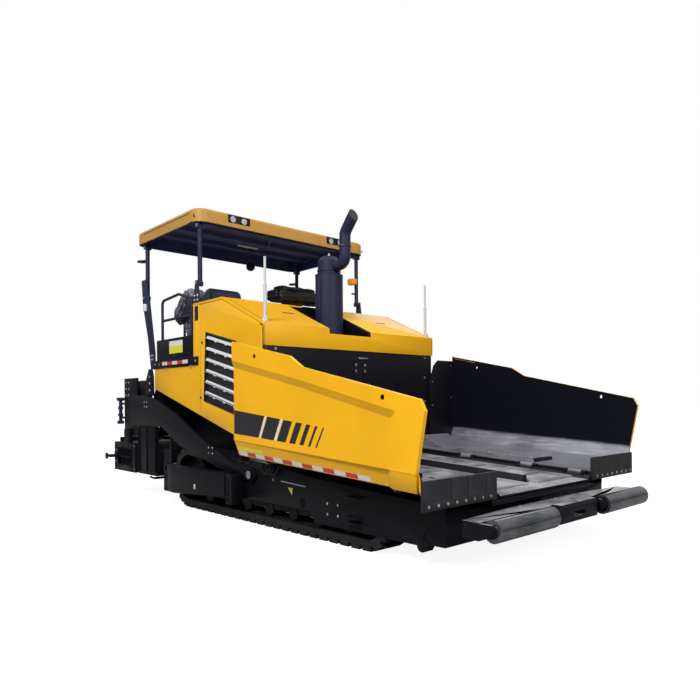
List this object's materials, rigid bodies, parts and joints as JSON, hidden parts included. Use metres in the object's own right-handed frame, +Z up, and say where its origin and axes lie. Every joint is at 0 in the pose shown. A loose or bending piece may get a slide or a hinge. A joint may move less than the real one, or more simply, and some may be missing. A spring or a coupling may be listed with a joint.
{
  "type": "tracked asphalt paver",
  "caption": "Asphalt paver on two tracks with a folding front hopper, bar conveyors, push rollers, engine hood, roofed operator platform, augers and a towed screed with sliding extensions.",
  "frame": {"origin": "on the ground under the middle of the machine's length and width", "axes": "+X forward towards the hopper, +Y to the machine's left, +Z up"},
  "size_m": [6.788, 3.26, 3.51],
  "materials": {
    "black_frame": "satin",
    "yellow_body": "gloss",
    "track_steel": "dull",
    "rubber": "matte",
    "bright_steel": "polished",
    "worn_steel": "worn",
    "exhaust": "matte",
    "pale_grey": "satin",
    "seat_cover": "matte",
    "lamp_glass": "clear"
  },
  "bodies": {
    "chassis": {"auger_frame": "black_frame", "bulkhead": "black_frame", "consoles": "black_frame", "conveyors": "worn_steel", "engine": "black_frame", "guard_ears": "black_frame", "handrails": "black_frame", "hood": "yellow_body", "hopper_floor": "worn_steel", "hopper_frame": "black_frame", "main_frame": "black_frame", "marker_poles": "pale_grey", "muffler": "exhaust", "platform": "black_frame", "post_brackets": "black_frame", "seats": "seat_cover", "side_boxes": "black_frame", "side_panels": "yellow_body", "tail_pipe": "exhaust", "tanks": "black_frame", "tow_points": "black_frame", "track_frames": "black_frame", "track_left": "track_steel", "track_right": "track_steel", "track_wheels": "black_frame"},
    "wing_l": {"wing_left": "yellow_body", "hopper_flap_left": "rubber"},
    "wing_r": {"wing_right": "yellow_body", "hopper_flap_right": "rubber"},
    "wing_barrel_l": {"wing_barrel_left": "black_frame"},
    "wing_barrel_r": {"wing_barrel_right": "black_frame"},
    "wing_rod_l": {"wing_rod_left": "bright_steel"},
    "wing_rod_r": {"wing_rod_right": "bright_steel"},
    "push_bar": {"push_beam": "black_frame"},
    "push_roll_l": {"push_roller_left": "bright_steel"},
    "push_roll_r": {"push_roller_right": "bright_steel"},
    "door_l": {"side_door_left": "yellow_body"},
    "door_r": {"side_door_right": "yellow_body"},
    "guard_l": {"track_guard_left": "black_frame"},
    "guard_r": {"track_guard_right": "black_frame"},
    "post_front": {"front_posts": "black_frame"},
    "post_rear": {"rear_posts": "black_frame"},
    "roof": {"canopy": "yellow_body", "roof_lamps": "lamp_glass"},
    "screed_unit": {"tow_arms": "black_frame", "screed": "black_frame"},
    "extension_l": {"screed_extension_left": "black_frame"},
    "extension_r": {"screed_extension_right": "black_frame"},
    "lift_barrel": {"lift_barrels": "black_frame"},
    "lift_rod": {"lift_rods": "bright_steel"},
    "auger_l": {"auger_left": "worn_steel"},
    "auger_r": {"auger_right": "worn_steel"}
  },
  "joints": [
    {"name": "wing_fold_l", "type": "hinge", "parent": "chassis", "child": "wing_l", "pos_m": [1.49794, 0.78, 0.6385], "axis": [0.9986, 0, -0.0523], "range_deg": [0, 50]},
    {"name": "wing_barrel_swing_l", "type": "hinge", "parent": "chassis", "child": "wing_barrel_l", "pos_m": [2.34808, 0.96, 0.1984], "axis": [0.9986, 0, -0.0523], "range_deg": [-2, 23]},
    {"name": "wing_rod_slide_l", "type": "slide", "parent": "wing_barrel_l", "child": "wing_rod_l", "axis": [0.0463, 0.4668, 0.8832], "range_m": [-0.002, 0.2583]},
    {"name": "wing_fold_r", "type": "hinge", "parent": "chassis", "child": "wing_r", "pos_m": [1.49794, -0.78, 0.6385], "axis": [-0.9986, 0, 0.0523], "range_deg": [0, 50]},
    {"name": "wing_barrel_swing_r", "type": "hinge", "parent": "chassis", "child": "wing_barrel_r", "pos_m": [2.34808, -0.96, 0.1984], "axis": [-0.9986, 0, 0.0523], "range_deg": [-2, 23]},
    {"name": "wing_rod_slide_r", "type": "slide", "parent": "wing_barrel_r", "child": "wing_rod_r", "axis": [0.0463, -0.4668, 0.8832], "range_m": [-0.002, 0.2583]},
    {"name": "push_bar_swing", "type": "hinge", "parent": "chassis", "child": "push_bar", "pos_m": [2.96, 0, 0.33], "axis": [0, 0, 1], "range_deg": [-5, 5]},
    {"name": "push_roller_spin_l", "type": "hinge", "parent": "push_bar", "child": "push_roll_l", "pos_m": [3.31, 0.785, 0.345], "axis": [0, 1, 0], "continuous": true},
    {"name": "push_roller_spin_r", "type": "hinge", "parent": "push_bar", "child": "push_roll_r", "pos_m": [3.31, -0.785, 0.345], "axis": [0, 1, 0], "continuous": true},
    {"name": "side_door_hinge_l", "type": "hinge", "parent": "chassis", "child": "door_l", "pos_m": [0.538, 1.235, 1.5], "axis": [0, 0, -1], "range_deg": [0, 80]},
    {"name": "track_guard_hinge_l", "type": "hinge", "parent": "chassis", "child": "guard_l", "pos_m": [0.06, 1.359, 0.35], "axis": [0, 0, -1], "range_deg": [0, 90]},
    {"name": "side_door_hinge_r", "type": "hinge", "parent": "chassis", "child": "door_r", "pos_m": [0.538, -1.235, 1.5], "axis": [0, 0, 1], "range_deg": [0, 80]},
    {"name": "track_guard_hinge_r", "type": "hinge", "parent": "chassis", "child": "guard_r", "pos_m": [0.06, -1.359, 0.35], "axis": [0, 0, 1], "range_deg": [0, 90]},
    {"name": "canopy_fold", "type": "hinge", "parent": "chassis", "child": "post_front", "pos_m": [-0.85, 0, 2.64], "axis": [0, -1, 0], "range_deg": [0, 60]},
    {"name": "roof_level", "type": "hinge", "parent": "post_front", "child": "roof", "pos_m": [-0.85, 0, 3.32], "axis": [0, -1, 0], "range_deg": [-60, 0]},
    {"name": "rear_post_swing", "type": "hinge", "parent": "chassis", "child": "post_rear", "pos_m": [-2.3, 0, 2.64], "axis": [0, -1, 0], "range_deg": [0, 60]},
    {"name": "screed_lift", "type": "hinge", "parent": "chassis", "child": "screed_unit", "pos_m": [0.31, 0, 0.51], "axis": [0, -1, 0], "range_deg": [0, 5.5]},
    {"name": "lift_barrel_swing", "type": "hinge", "parent": "chassis", "child": "lift_barrel", "pos_m": [-2.04, 0, 1.56], "axis": [0, -1, 0], "range_deg": [-1, 7.81]},
    {"name": "lift_rod_slide", "type": "slide", "parent": "lift_barrel", "child": "lift_rod", "axis": [-0.5194, 0, -0.8545], "range_m": [-0.004, 0.2525]},
    {"name": "screed_extend_l", "type": "slide", "parent": "screed_unit", "child": "extension_l", "axis": [0, 1, 0], "range_m": [0, 0.8]},
    {"name": "auger_spin_l", "type": "hinge", "parent": "chassis", "child": "auger_l", "pos_m": [-1.79, 0.6, 0.425], "axis": [0, 1, 0], "continuous": true},
    {"name": "screed_extend_r", "type": "slide", "parent": "screed_unit", "child": "extension_r", "axis": [0, -1, 0], "range_m": [0, 0.8]},
    {"name": "auger_spin_r", "type": "hinge", "parent": "chassis", "child": "auger_r", "pos_m": [-1.79, -0.6, 0.425], "axis": [0, 1, 0], "continuous": true}
  ],
  "couplings": [
    {"joint": "roof_level", "follows": "canopy_fold", "ratio": -1},
    {"joint": "rear_post_swing", "follows": "canopy_fold", "ratio": 1},
    {"joint": "lift_barrel_swing", "follows": "screed_lift", "ratio": 1.2377},
    {"joint": "lift_rod_slide", "follows": "screed_lift", "m_per_rad": 2.5674},
    {"joint": "wing_barrel_swing_l", "follows": "wing_fold_l", "ratio": 0.4094},
    {"joint": "wing_rod_slide_l", "follows": "wing_fold_l", "m_per_rad": 0.2914},
    {"joint": "wing_barrel_swing_r", "follows": "wing_fold_r", "ratio": 0.4094},
    {"joint": "wing_rod_slide_r", "follows": "wing_fold_r", "m_per_rad": 0.2914}
  ]
}
